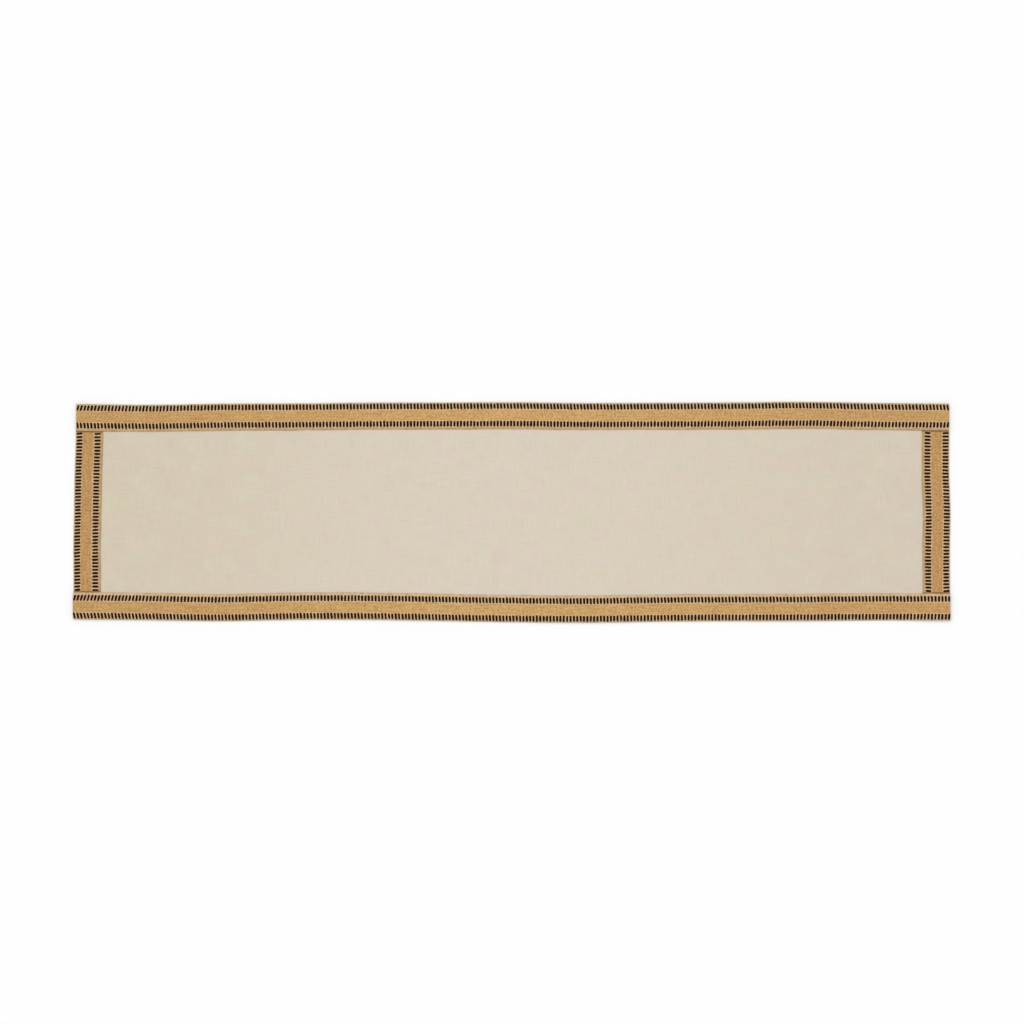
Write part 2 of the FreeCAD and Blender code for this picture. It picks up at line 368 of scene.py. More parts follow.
def tape_half(side):
    """Half the length of a tape, with the ends that are tucked under the long tapes."""
    return LONG_TAPE_HALF if side in LONG_SIDES else END_TAPE_HALF + TUCK_LENGTH


def inner_edge(side):
    """How far a tape's inner selvedge lies from the runner's edge."""
    return TAPE_INNER_EDGE - TAPE_TRIM[side]


def noise_field(x, y, scale, seed):
    """Smooth random unevenness from -1 to 1 that depends only on the place and the seed."""
    local = np.random.default_rng(seed)
    table = local.uniform(-1, 1, (NOISE_CELLS, NOISE_CELLS))
    fx, fy = x / scale, y / scale
    ix, iy = np.floor(fx).astype(int), np.floor(fy).astype(int)
    tx, ty = smooth_step(0, 1, fx - ix), smooth_step(0, 1, fy - iy)
    near_x, far_x = ix % NOISE_CELLS, (ix + 1) % NOISE_CELLS
    near_y, far_y = iy % NOISE_CELLS, (iy + 1) % NOISE_CELLS
    low = table[near_x, near_y] * (1 - ty) + table[near_x, far_y] * ty
    high = table[far_x, near_y] * (1 - ty) + table[far_x, far_y] * ty
    return low * (1 - tx) + high * tx


def over_end_tape(along, inward):
    """1 where a long tape lies over the tucked end of an end tape, and 0 elsewhere."""
    from_end = LONG_TAPE_HALF - np.abs(along)
    beside = 1 - smooth_step(TAPE_INNER_EDGE, TAPE_INNER_EDGE + LAP_EDGE, from_end)
    return beside * smooth_step(-2 * TUCK_LENGTH, -TUCK_LENGTH, inward - TAPE_INNER_EDGE)


def first_seed(side):
    """The first of the ten noise seeds that belong to a side."""
    return list(SIDES).index(side) * 10


def tape_surface(side, along, inward):
    """Height of a tape's face above the runner's underside."""
    height = TAPE_TOP
    for seed, (size, scale) in enumerate(FACE_LUMPS, start=first_seed(side)):
        height = height + size * noise_field(along, inward, scale, seed)
    inner_seam = inner_edge(side) - INNER_SEAM_INSET
    for seam in (OUTER_SEAM, inner_seam):
        height = height - SEAM_DIP * np.exp(-(((inward - seam) / SEAM_DIP_WIDTH) ** 2))
    height = height - SELVEDGE_DROP * smooth_step(inner_seam, inner_edge(side), inward)
    if side in LONG_SIDES:
        from_end = LONG_TAPE_HALF - np.abs(along)
        turned = 1 - smooth_step(TURNED_END, 1.5 * TURNED_END, from_end)
        height = height + TURNED_END_RISE * turned
        height = height + LAP_RISE * over_end_tape(along, inward)
        cross = np.exp(-(((np.abs(along) - CROSS_SEAM) / SEAM_DIP_WIDTH) ** 2))
        return height - SEAM_DIP * cross
    tucked = smooth_step(END_TAPE_HALF - LAP_DIP_WIDTH, END_TAPE_HALF, np.abs(along))
    pressed = BORDER_BASE + PRESSED_THICKNESS
    return height + (pressed - height) * tucked


def tape_underside(side, along, inward):
    """Height of a tape's back, which steps up over the end of the tape tucked under it."""
    if side not in LONG_SIDES:
        return np.full_like(inward, BORDER_BASE)
    return BORDER_BASE + (PRESSED_THICKNESS + LAP_CLEARANCE) * over_end_tape(along, inward)


def make_tape(side, material):
    """A woven tape as one closed ribbon with rounded selvedges and rounded turned ends."""
    half = tape_half(side)
    stations = int(round(2 * half / TAPE_STEP))
    along = np.linspace(-half, half, stations)
    end_steps = END_ROUND * END_ROUND_SHARES
    along = np.unique(np.concatenate([along[2:-2], -half + end_steps, half - end_steps]))

    across = np.linspace(EDGE_REVEAL + EDGE_ROUND, inner_edge(side) - EDGE_ROUND, TAPE_COLUMNS)
    grid_along, grid_across = np.meshgrid(along, across, indexing="ij")
    top = tape_surface(side, grid_along, grid_across)
    bottom = tape_underside(side, grid_along, grid_across)
    end_share = np.clip((half - np.abs(along)) / END_ROUND, 0, 1)
    bulge = np.sqrt(np.clip(1 - (1 - end_share) ** 2, LEAST_END, 1))[:, None]
    middle = (top + bottom) / 2
    top = middle + (top - middle) * bulge
    low = middle - (middle - bottom) * bulge

    wander = edge_wander(side, along)
    outer_wall, inner_wall = EDGE_REVEAL - wander[0], inner_edge(side) + wander[1]
    loop_across = [grid_across[:, k] for k in range(TAPE_COLUMNS)]
    loop_height = [top[:, k] for k in range(TAPE_COLUMNS)]
    for share in WALL_SHARES[::-1]:
        loop_across.append(inner_wall)
        loop_height.append(low[:, -1] + (top[:, -1] - low[:, -1]) * share)
    for column in BACK_COLUMNS:
        loop_across.append(grid_across[:, column])
        loop_height.append(low[:, column])
    for share in WALL_SHARES:
        loop_across.append(outer_wall)
        loop_height.append(low[:, 0] + (top[:, 0] - low[:, 0]) * share)
    inward = np.stack(loop_across, axis=1)
    height = np.stack(loop_height, axis=1)
    ribbon = spots(along[:, None], inward, height)
    hairs = make_hairs(side, half)
    local = np.vstack([ribbon.reshape(-1, 3), hairs.reshape(-1, 3)])
    runner = to_runner(side, stretch_ends(side, local[:, 0]), local[:, 1], local[:, 2])
    faces = tube_faces(len(along), inward.shape[1])
    hair_faces = tube_faces(len(HAIR_SHARES), hairs.shape[2], len(hairs))
    first = inward.size
    faces += [[corner + first for corner in face] for face in hair_faces]
    apart = 10.0 * list(SIDES).index(side)
    flat = local + np.array([0, 0, apart])
    kind = "long" if side in LONG_SIDES else "end"
    node = f"{kind}_tape_{side}"
    return make_object(
        f"{node}_woven", lay(runner).reshape(-1, 3), faces, flat, node, material
    )


HAIRS_PER_METRE = 620
# The share of a tape's length that has hairs.
HAIRY_SHARE = 0.995
HAIR_RADIUS = 0.045 * MM
HAIR_TAPER = 0.6
HAIR_LENGTH = 1.5 * MM
HAIR_EVENNESS = 4
HAIR_SIDES = 3
# The rings of a hair, as shares of its length.
HAIR_SHARES = np.array([0, 0.35, 0.7, 1.0])
# The share of the hairs on the outer edge, and on the two edges together.
HAIRS_OUTER, HAIRS_EDGES = 0.45, 0.8
# How far below the face a hair starts, and how steeply it stands up, on the face and on an
# edge. Each rises more or less than that by a random share, and arches over at its tip.
HAIR_ROOTS = (0.05 * MM, 0.35 * MM)
HAIR_RISES = (0.35, 0.12)
HAIR_RISE_SPREAD = (0.3, 1.2)
HAIR_ARCH = 0.8 * math.pi
# How far hairs turn away from straight outwards, in radians.
HAIR_TURN = 0.9


def make_hairs(side, half):
    """Loose jute fibres that stick out of a tape's two edges and its face."""
    count = int(2 * half * HAIRS_PER_METRE)
    along = rng.uniform(-half, half, count) * HAIRY_SHARE
    place = rng.uniform(0, 1, count)
    outward = np.where(place < HAIRS_OUTER, -1, 1)
    on_face = place > HAIRS_EDGES
    edge = np.where(outward < 0, EDGE_REVEAL + EDGE_ROUND, inner_edge(side) - EDGE_ROUND)
    inward = np.where(on_face, rng.uniform(EDGE_REVEAL, inner_edge(side), count), edge)
    length = rng.gamma(HAIR_EVENNESS, HAIR_LENGTH / HAIR_EVENNESS, count)
    angle = rng.normal(0, HAIR_TURN, count)
    curl = rng.normal(0, HAIR_TURN, count)
    rise = np.where(on_face, *HAIR_RISES) * length * rng.uniform(*HAIR_RISE_SPREAD, count)
    share = HAIR_SHARES[None, :]
    bend = angle[:, None] + curl[:, None] * share
    run_along = along[:, None] + length[:, None] * share * np.sin(bend)
    run_inward = inward[:, None] + length[:, None] * share * np.cos(bend) * outward[:, None]
    root = tape_surface(side, along, inward) - np.where(on_face, *HAIR_ROOTS)
    run_height = root[:, None] + rise[:, None] * np.sin(HAIR_ARCH * share)
    turn = np.arange(HAIR_SIDES) * 2 * math.pi / HAIR_SIDES
    radius = HAIR_RADIUS * (1 - HAIR_TAPER * share)[:, :, None]
    ring_along = run_along[:, :, None] + radius * np.cos(turn)
    ring_height = run_height[:, :, None] + radius * np.sin(turn)
    return spots(ring_along, run_inward[:, :, None], ring_height)


def stretch_ends(side, along):
    """Along positions on a tape, with each end of a long tape moved to where it reaches."""
    if side not in LONG_SIDES:
        return along
    reach = TAPE_END_REACH[side]
    direction = SIDES[side][0][0]
    high, low = ("right", "left") if direction > 0 else ("left", "right")
    start = STRETCH_START * HALF_LENGTH
    to_high = smooth_step(start, HALF_LENGTH, along) * reach[high]
    to_low = smooth_step(start, HALF_LENGTH, -along) * reach[low]
    return along + (to_high - to_low) * MM


def edge_wander(side, along):
    """How far a tape's two selvedges stray outwards, from uneven weaving."""
    found = []
    for seed, (size, scale) in enumerate(SELVEDGE_WANDER, start=first_seed(side) + 5):
        found.append(size * noise_field(along, np.zeros_like(along), scale, seed))
    outer, inner, fray = found
    return outer + fray, inner + fray


# ---------------------------------------------------------------- black yarn bars
# Lean of the bars along each row, in degrees at even steps from the row's low end to its
# high end in the side's own frame. A positive lean moves the inner end that way.
BAR_LEAN = {
    "back": {"outer": (-8, -6, -5, -8, -5, -3, 1, 14), "inner": (6, 5, 2, 0, 0, -2, -5, -8)},
    "front": {"outer": (-14, -6, -5, -4, -1, 0, 1, 5), "inner": (16, 4, 0, -4, -3, -5, -4, -2)},
    "left": {"outer": (-3, -2, -3, -5, -4), "inner": (-2, 1, -1, -3, 0)},
    "right": {"outer": (-2, 0, 2, 1, -2), "inner": (0, 2, -1, 1, 2)},
}
# How far each row lies inwards of its even place, in millimetres.
ROW_SHIFT = {
    "front": {"outer": 0, "inner": 0.5},
    "right": {"outer": -0.5, "inner": 0.5},
    "back": {"outer": 0, "inner": 0},
    "left": {"outer": 0, "inner": 1},
}
# How much longer the bars lie than they are drawn in CAD, where the yarn relaxed.
BAR_STRETCH = {"front": 1.09, "right": 1.13, "back": 1.06, "left": 1.13}
STRANDS = 3
STRAND_RINGS = 15
STRAND_SIDES = 8
STRAND_SPACING = BAR_WIDTH / STRANDS
STRAND_RADIUS = 0.7 * STRAND_SPACING
# How much a strand narrows at its tips, swells where its plies turn, and how often they do.
STRAND_TAPER = 0.4
STRAND_SWELL = 0.13
STRAND_TURNS = 1.2
# How high a strand's middle line stands, as a share of its own half height, and how far and
# how abruptly its tips dive into the tape.
STRAND_STAND = 0.75
TIP_SINK = 0.35 * MM
TIP_POWER = 8
# The spread, from bar to bar, of place across and along the tape, lean in degrees and length.
BAR_SPREAD = {"inward": 0.16 * MM, "along": 0.07 * MM, "lean": 1.1, "length": 0.03}
# The spread, from strand to strand, of width, sideways bow and length.
STRAND_SPREAD = {"width": 0.05, "bow": 0.11 * MM, "length": 0.035}
# The bars of a long row stand a little closer together at its middle than at its ends.
MIDDLE_CROWDING = 0.0022


def bar_row(side, row):
    """Middle, lean and half length of every bar in a row."""
    is_long = side in LONG_SIDES
    count = LONG_BAR_COUNT if is_long else END_BAR_COUNT
    share = np.linspace(0, 1, count)
    middle = (OUTER_BARS if row == "outer" else INNER_BARS) + ROW_SHIFT[side][row] * MM
    inward = middle + rng.normal(0, BAR_SPREAD["inward"], count)
    degrees = smooth_curve(BAR_LEAN[side][row], share) + rng.normal(0, BAR_SPREAD["lean"], count)
    lean = np.tan(np.radians(degrees))
    half = BAR_LENGTH / 2 * (BAR_STRETCH[side] + rng.normal(0, BAR_SPREAD["length"], count))
    if is_long:
        low, high = stretch_ends(side, np.array([-LONG_TAPE_HALF, LONG_TAPE_HALF]))
        low_room, high_room = (BAR_WIDTH / 2 + abs(lean[end]) * half[end] for end in (0, -1))
        low, high = low + low_room, high - high_room
        share = share - MIDDLE_CROWDING * np.sin(2 * math.pi * (share - 0.5))
    else:
        high = (count - 1) / 2 * BAR_PITCH
        low = -high
    along = low + (high - low) * share + rng.normal(0, BAR_SPREAD["along"], count)
    return along, inward, lean, half


def make_bar_row(side, row, material):
    """Every bar of a row, each a few soft yarns laid side by side across the tape."""
    along, inward, lean, half = bar_row(side, row)
    count = len(along)
    t = np.linspace(-1, 1, STRAND_RINGS)
    t = np.sin(t * math.pi / 2)
    turn = np.arange(STRAND_SIDES) * 2 * math.pi / STRAND_SIDES
    ring = t[None, None, :, None]
    tip = np.abs(ring) ** TIP_POWER
    taper = 1 - STRAND_TAPER * tip
    tubes = []
    for strand in range(STRANDS):
        place = (strand - (STRANDS - 1) / 2) * STRAND_SPACING
        width = STRAND_RADIUS * (1 + rng.normal(0, STRAND_SPREAD["width"], count))
        bow = rng.normal(0, STRAND_SPREAD["bow"], count)
        phase = rng.uniform(0, 2 * math.pi, count)
        reach = half * (1 + rng.normal(0, STRAND_SPREAD["length"], count))
        tubes.append((np.full(count, place), width, bow, phase, reach))
    place, width, bow, phase, reach = np.stack(tubes, axis=1)[..., None, None]
    twist = 1 + STRAND_SWELL * np.cos(2 * (turn - STRAND_TURNS * 2 * math.pi * ring) + phase)
    radius = width * taper * twist
    offset = ring * reach
    middle = along[:, None, None] + place * taper + offset * lean[:, None, None]
    middle = middle + bow * (1 - ring**2)
    spot_along = middle + radius * np.cos(turn)
    spot_inward = np.broadcast_to(inward[:, None, None] + offset, spot_along.shape)
    base = tape_surface(side, spot_along, spot_inward)
    crown = BAR_HEIGHT / 2 * taper * twist
    height = base + crown * (STRAND_STAND + np.sin(turn)) - TIP_SINK * tip
    runner = to_runner(side, spot_along, spot_inward, height)
    flat = spots(spot_along - middle, spot_inward, height).reshape(-1, 3)
    faces = tube_faces(STRAND_RINGS, STRAND_SIDES, STRANDS * count)
    node = f"black_yarn_{side}_{row}"
    return make_object(
        f"{node}_bars", lay(runner).reshape(-1, 3), faces, flat, node, material
    )


# ---------------------------------------------------------------- sewing threads
STITCH_LENGTH = 3 * MM
STITCH_GAP = 0.35 * MM
STITCH_RINGS = 5
STITCH_SIDES = 5
STITCH_WANDER = 0.07 * MM
# The share of its full thickness that a thread has where it dives in.
STITCH_END = 0.6
# How far a stitch's ends sink into the tape, and how far its middle rises above them.
STITCH_SINK = 0.12 * MM
STITCH_ARCH = 0.22 * MM
END_SEAM_HALF = END_TAPE_HALF - 0.5 * MM


def seam_runs(side):
    """The straight runs of a tape's seams, each from one point to another."""
    inner_seam = inner_edge(side) - INNER_SEAM_INSET
    if side not in LONG_SIDES:
        return [
            ((-END_SEAM_HALF, seam), (END_SEAM_HALF, seam)) for seam in (OUTER_SEAM, inner_seam)
        ]
    corners = [
        (-CROSS_SEAM, OUTER_SEAM),
        (CROSS_SEAM, OUTER_SEAM),
        (CROSS_SEAM, inner_seam),
        (-CROSS_SEAM, inner_seam),
    ]
    return list(zip(corners, corners[1:] + corners[:1]))


def make_thread(side, kind, material):
    """Every stitch of a tape's seams, arched on the face or on the underside."""
    starts, ends = [], []
    for (a0, d0), (a1, d1) in seam_runs(side):
        count = int(math.hypot(a1 - a0, d1 - d0) // STITCH_LENGTH)
        marks = np.linspace(0, 1, count + 1)[:, None]
        points = np.array([a0, d0]) + marks * np.array([a1 - a0, d1 - d0])
        points[1:-1] += rng.normal(0, STITCH_WANDER, (count - 1, 2))
        starts.append(points[:-1])
        ends.append(points[1:])
    start, end = np.vstack(starts), np.vstack(ends)
    run = end - start
    length = np.linalg.norm(run, axis=1, keepdims=True)
    direction = run / length
    across = np.stack([-direction[:, 1], direction[:, 0]], axis=1)
    t = np.linspace(0, 1, STITCH_RINGS)
    turn = np.arange(STITCH_SIDES) * 2 * math.pi / STITCH_SIDES
    inset = STITCH_GAP / 2
    spot = inset + t[:, None] * (length[:, :, None] - 2 * inset)
    centre = start[:, None, :] + direction[:, None, :] * spot
    arch = np.sin(math.pi * t)
    radius = THREAD_RADIUS * (STITCH_END + (1 - STITCH_END) * arch)
    swing = radius[:, None] * np.cos(turn)
    ring_along = centre[:, :, None, 0] + across[:, None, None, 0] * swing
    ring_inward = centre[:, :, None, 1] + across[:, None, None, 1] * swing
    rise = radius[:, None] * np.sin(turn)
    if kind == "needle":
        base = tape_surface(side, centre[..., 0], centre[..., 1])[:, :, None]
        height = base + rise + (STITCH_ARCH * arch - STITCH_SINK)[:, None]
    else:
        height = UNDERSIDE + THREAD_RADIUS - UNDERSIDE * arch[:, None] + rise
        height = np.maximum(height, 0)
    along = stretch_ends(side, ring_along)
    runner = to_runner(side, along, ring_inward, height)
    flat = spots(ring_along, ring_inward, height).reshape(-1, 3)
    faces = tube_faces(STITCH_RINGS, STITCH_SIDES, len(start))
    node = f"{kind}_thread_{side}"
    return make_object(
        f"{node}_stitches", lay(runner).reshape(-1, 3), faces, flat, node, material
    )


# ---------------------------------------------------------------- materials
# How bright the studio lights are together, against a plain white light of one.
STUDIO_GAIN = 1.23


def srgb(red, green, blue):
    """The linear surface colour that looks like a screen colour, 0 to 255, in this studio."""
    shares = np.array([red, green, blue]) / 255
    linear = np.where(shares <= 0.04045, shares / 12.92, ((shares + 0.055) / 1.055) ** 2.4)
    return (*(linear / STUDIO_GAIN).tolist(), 1.0)


class Nodes:
    """A material's node tree, with short calls for the nodes that the cloth needs."""

    def __init__(self, name):
        self.material = bpy.data.materials.new(name)
        self.material.use_nodes = True
        self.tree = self.material.node_tree
        self.shader = self.tree.nodes["Principled BSDF"]

    def node(self, kind, settings=(), **inputs):
        """A node with its settings, and its inputs linked or set."""
        made = self.tree.nodes.new(kind)
        for key, value in dict(settings).items():
            setattr(made, key, value)
        for key, value in inputs.items():
            self.feed(made.inputs[int(key[1:])], value)
        return made

    def feed(self, socket, value):
        """Link an output to a socket, or set the socket's own value."""
        if isinstance(value, bpy.types.NodeSocket):
            self.tree.links.new(value, socket)
        else:
            socket.default_value = value

    def math(self, operation, first, second=0.0, third=0.0):
        """The result of a math node."""
        made = self.node("ShaderNodeMath", {"operation": operation}, _0=first, _1=second, _2=third)
        return made.outputs[0]

    def ramp(self, value, low, high, to_low=0.0, to_high=1.0):
        """A value moved smoothly from one range to another."""
        made = self.node(
            "ShaderNodeMapRange",
            {"interpolation_type": "SMOOTHSTEP"},
            _0=value,
            _1=low,
            _2=high,
            _3=to_low,
            _4=to_high,
        )
        return made.outputs[0]

    def mix(self, share, first, second):
        """Two colours, or two values, mixed."""
        made = self.node("ShaderNodeMix", {"data_type": "RGBA"})
        self.feed(made.inputs[0], share)
        self.feed(made.inputs[6], first)
        self.feed(made.inputs[7], second)
        return made.outputs[2]

    def flat(self):
        """The place on the flat runner, in metres."""
        made = self.node("ShaderNodeAttribute", {"attribute_name": "flat"})
        return made.outputs["Vector"]

    def scaled(self, vector, x, y, z=1.0):
        """A vector stretched along each of its axes."""
        made = self.node("ShaderNodeVectorMath", {"operation": "MULTIPLY"}, _0=vector, _1=(x, y, z))
        return made.outputs[0]

    def split(self, vector):
        """The three parts of a vector."""
        return self.node("ShaderNodeSeparateXYZ", _0=vector).outputs

    def noise(self, vector, detail=2.0, roughness=0.5, distortion=0.0):
        """Smooth noise from 0 to 1, one lump to a unit of the vector."""
        made = self.node("ShaderNodeTexNoise")
        self.feed(made.inputs["Vector"], vector)
        made.inputs["Scale"].default_value = 1.0
        made.inputs["Detail"].default_value = detail
        made.inputs["Roughness"].default_value = roughness
        made.inputs["Distortion"].default_value = distortion
        return made.outputs[0]

    def weave(self, across, along, pitch_across, pitch_along):
        """A plain weave: its height, and which of the two yarns is on top."""
        warp = self.math("SINE", self.math("MULTIPLY", across, math.pi / pitch_across))
        weft = self.math("SINE", self.math("MULTIPLY", along, math.pi / pitch_along))
        warp_on_top = self.ramp(self.math("MULTIPLY", warp, weft), -0.1, 0.1)
        warp, weft = self.math("ABSOLUTE", warp), self.math("ABSOLUTE", weft)
        over, under = (
            self.math("MULTIPLY", self.math("POWER", warp, a), self.math("POWER", weft, b))
            for a, b in ((0.7, 0.22), (0.22, 0.7))
        )
        return self.mix(warp_on_top, under, over), warp_on_top

    def wobble(self, value, vector, reach):
        """A coordinate pushed back and forth by smooth noise."""
        push = self.math("SUBTRACT", self.noise(vector, 2), 0.5)
        return self.math("MULTIPLY_ADD", push, reach, value)

    def bump(self, height, distance, strength=1.0):
        """A bump as deep as the distance, in metres."""
        made = self.node("ShaderNodeBump")
        made.inputs["Strength"].default_value = strength
        made.inputs["Distance"].default_value = distance
        self.feed(made.inputs["Height"], height)
        return made.outputs[0]

    def finish(self, colour, roughness, normal, sheen, sheen_tint, gloss=0.15):
        """Set the shader and give the material back."""
        self.feed(self.shader.inputs["Base Color"], colour)
        self.feed(self.shader.inputs["Roughness"], roughness)
        self.feed(self.shader.inputs["Normal"], normal)
        self.shader.inputs["Specular IOR Level"].default_value = gloss
        self.shader.inputs["Sheen Weight"].default_value = sheen
        self.shader.inputs["Sheen Roughness"].default_value = 0.5
        self.shader.inputs["Sheen Tint"].default_value = sheen_tint
        return self.material


CLOTH_PITCH = 0.95 * MM


def cloth_material():
    """Natural plain-woven cloth with faint slubs both ways, uneven dyeing and painted shade."""
    nodes = Nodes("natural_cloth")
    place = nodes.flat()
    x, y, _ = nodes.split(place)
    warp_slubs = nodes.noise(nodes.scaled(place, 14, 300, 0), 3, 0.62)
    weft_slubs = nodes.noise(nodes.scaled(place, 300, 18, 0), 3, 0.62)
    blotches = nodes.noise(nodes.scaled(place, 11, 14, 0), 4, 0.6)
    patches = nodes.noise(nodes.scaled(place, 19, 24), 2, 0.5, 0.4)
    flecks = nodes.noise(nodes.scaled(place, 120, 420, 0), 2, 0.5)
    warp_tone = nodes.noise(nodes.scaled(place, 25, 1000), 3, 0.6)
    weft_tone = nodes.noise(nodes.scaled(place, 1000, 25), 3, 0.6)
    warp_fibres = nodes.noise(nodes.scaled(place, 500, 5000), 3, 0.65)
    weft_fibres = nodes.noise(nodes.scaled(place, 5000, 500), 3, 0.65)
    wavy_x = nodes.wobble(x, nodes.scaled(place, 330, 35), 1.5 * MM)
    wavy_y = nodes.wobble(y, nodes.scaled(place, 35, 330), 1.5 * MM)
    weave, warp_on_top = nodes.weave(wavy_y, wavy_x, CLOTH_PITCH, CLOTH_PITCH)
    tone = nodes.mix(warp_on_top, weft_tone, warp_tone)
    fibre = nodes.mix(warp_on_top, weft_fibres, warp_fibres)
    # Painted shade: the cloth darkens towards both ends, where the light falls off, and is yellower
    # at its left end.
    from_middle = nodes.math("ABSOLUTE", nodes.math("DIVIDE", x, HALF_LENGTH))
    shade_to_ends = nodes.ramp(from_middle, 0.1, 0.95, 0.0, 0.8)
    left_share = nodes.ramp(x, -HALF_LENGTH, HALF_LENGTH)
    shaded_end_tint = nodes.mix(left_share, srgb(213, 201, 175), srgb(215, 201, 185))
    colour = nodes.mix(shade_to_ends, srgb(225, 213, 198), shaded_end_tint)
    colour = nodes.mix(nodes.ramp(blotches, 0.3, 0.52, 0.45, 0.0), colour, srgb(219, 203, 187))
    colour = nodes.mix(nodes.ramp(blotches, 0.48, 0.68, 0.0, 0.6), colour, srgb(221, 211, 187))
    colour = nodes.mix(nodes.ramp(patches, 0.48, 0.68, 0.0, 0.6), colour, srgb(217, 213, 188))
    colour = nodes.mix(nodes.ramp(patches, 0.33, 0.5, 0.45, 0.0), colour, srgb(225, 206, 192))
    colour = nodes.mix(nodes.ramp(flecks, 0.72, 0.8, 0, 0.45), colour, srgb(186, 170, 146))
    colour = nodes.mix(nodes.ramp(warp_slubs, 0.56, 0.74, 0, 0.24), colour, srgb(200, 185, 162))
    colour = nodes.mix(nodes.ramp(weft_slubs, 0.56, 0.74, 0, 0.24), colour, srgb(200, 185, 162))
    colour = nodes.mix(nodes.ramp(tone, 0.48, 0.72, 0, 0.5), colour, srgb(200, 186, 162))
    colour = nodes.mix(nodes.ramp(tone, 0.28, 0.5, 0.5, 0), colour, srgb(238, 228, 212))
    colour = nodes.mix(nodes.ramp(fibre, 0.5, 0.72, 0, 0.35), colour, srgb(196, 180, 154))
    # Painted shade in the hollows between the yarns of the weave.
    colour = nodes.mix(nodes.ramp(weave, 0.0, 0.5, 0.3, 0.0), colour, srgb(170, 152, 126))
    height = nodes.math("MULTIPLY_ADD", warp_slubs, 0.6, weave)
    height = nodes.math("MULTIPLY_ADD", weft_slubs, 0.6, height)
    height = nodes.math("MULTIPLY_ADD", fibre, 0.5, height)
    normal = nodes.bump(height, 0.14 * MM, 0.8)
    roughness = nodes.ramp(blotches, 0.2, 0.8, 0.82, 0.92)
    return nodes.finish(colour, roughness, normal, 0.2, (1.0, 0.97, 0.92, 1.0))


JUTE_PITCH = 1.7 * MM
# How fast the fibres of the jute yarns turn.
JUTE_TWIST = 6200
# Each tape's gold at the runner's middle, its gold towards the ends with painted shade, and its
# inner margin.
JUTE_COLOURS = {
    "front": (srgb(238, 191, 122), srgb(212, 164, 100), srgb(250, 220, 184)),
    "right": (srgb(207, 155, 96), srgb(207, 155, 96), srgb(212, 178, 134)),
    "back": (srgb(238, 191, 122), srgb(212, 164, 100), srgb(218, 184, 146)),
    "left": (srgb(207, 155, 96), srgb(207, 155, 96), srgb(212, 178, 134)),
}


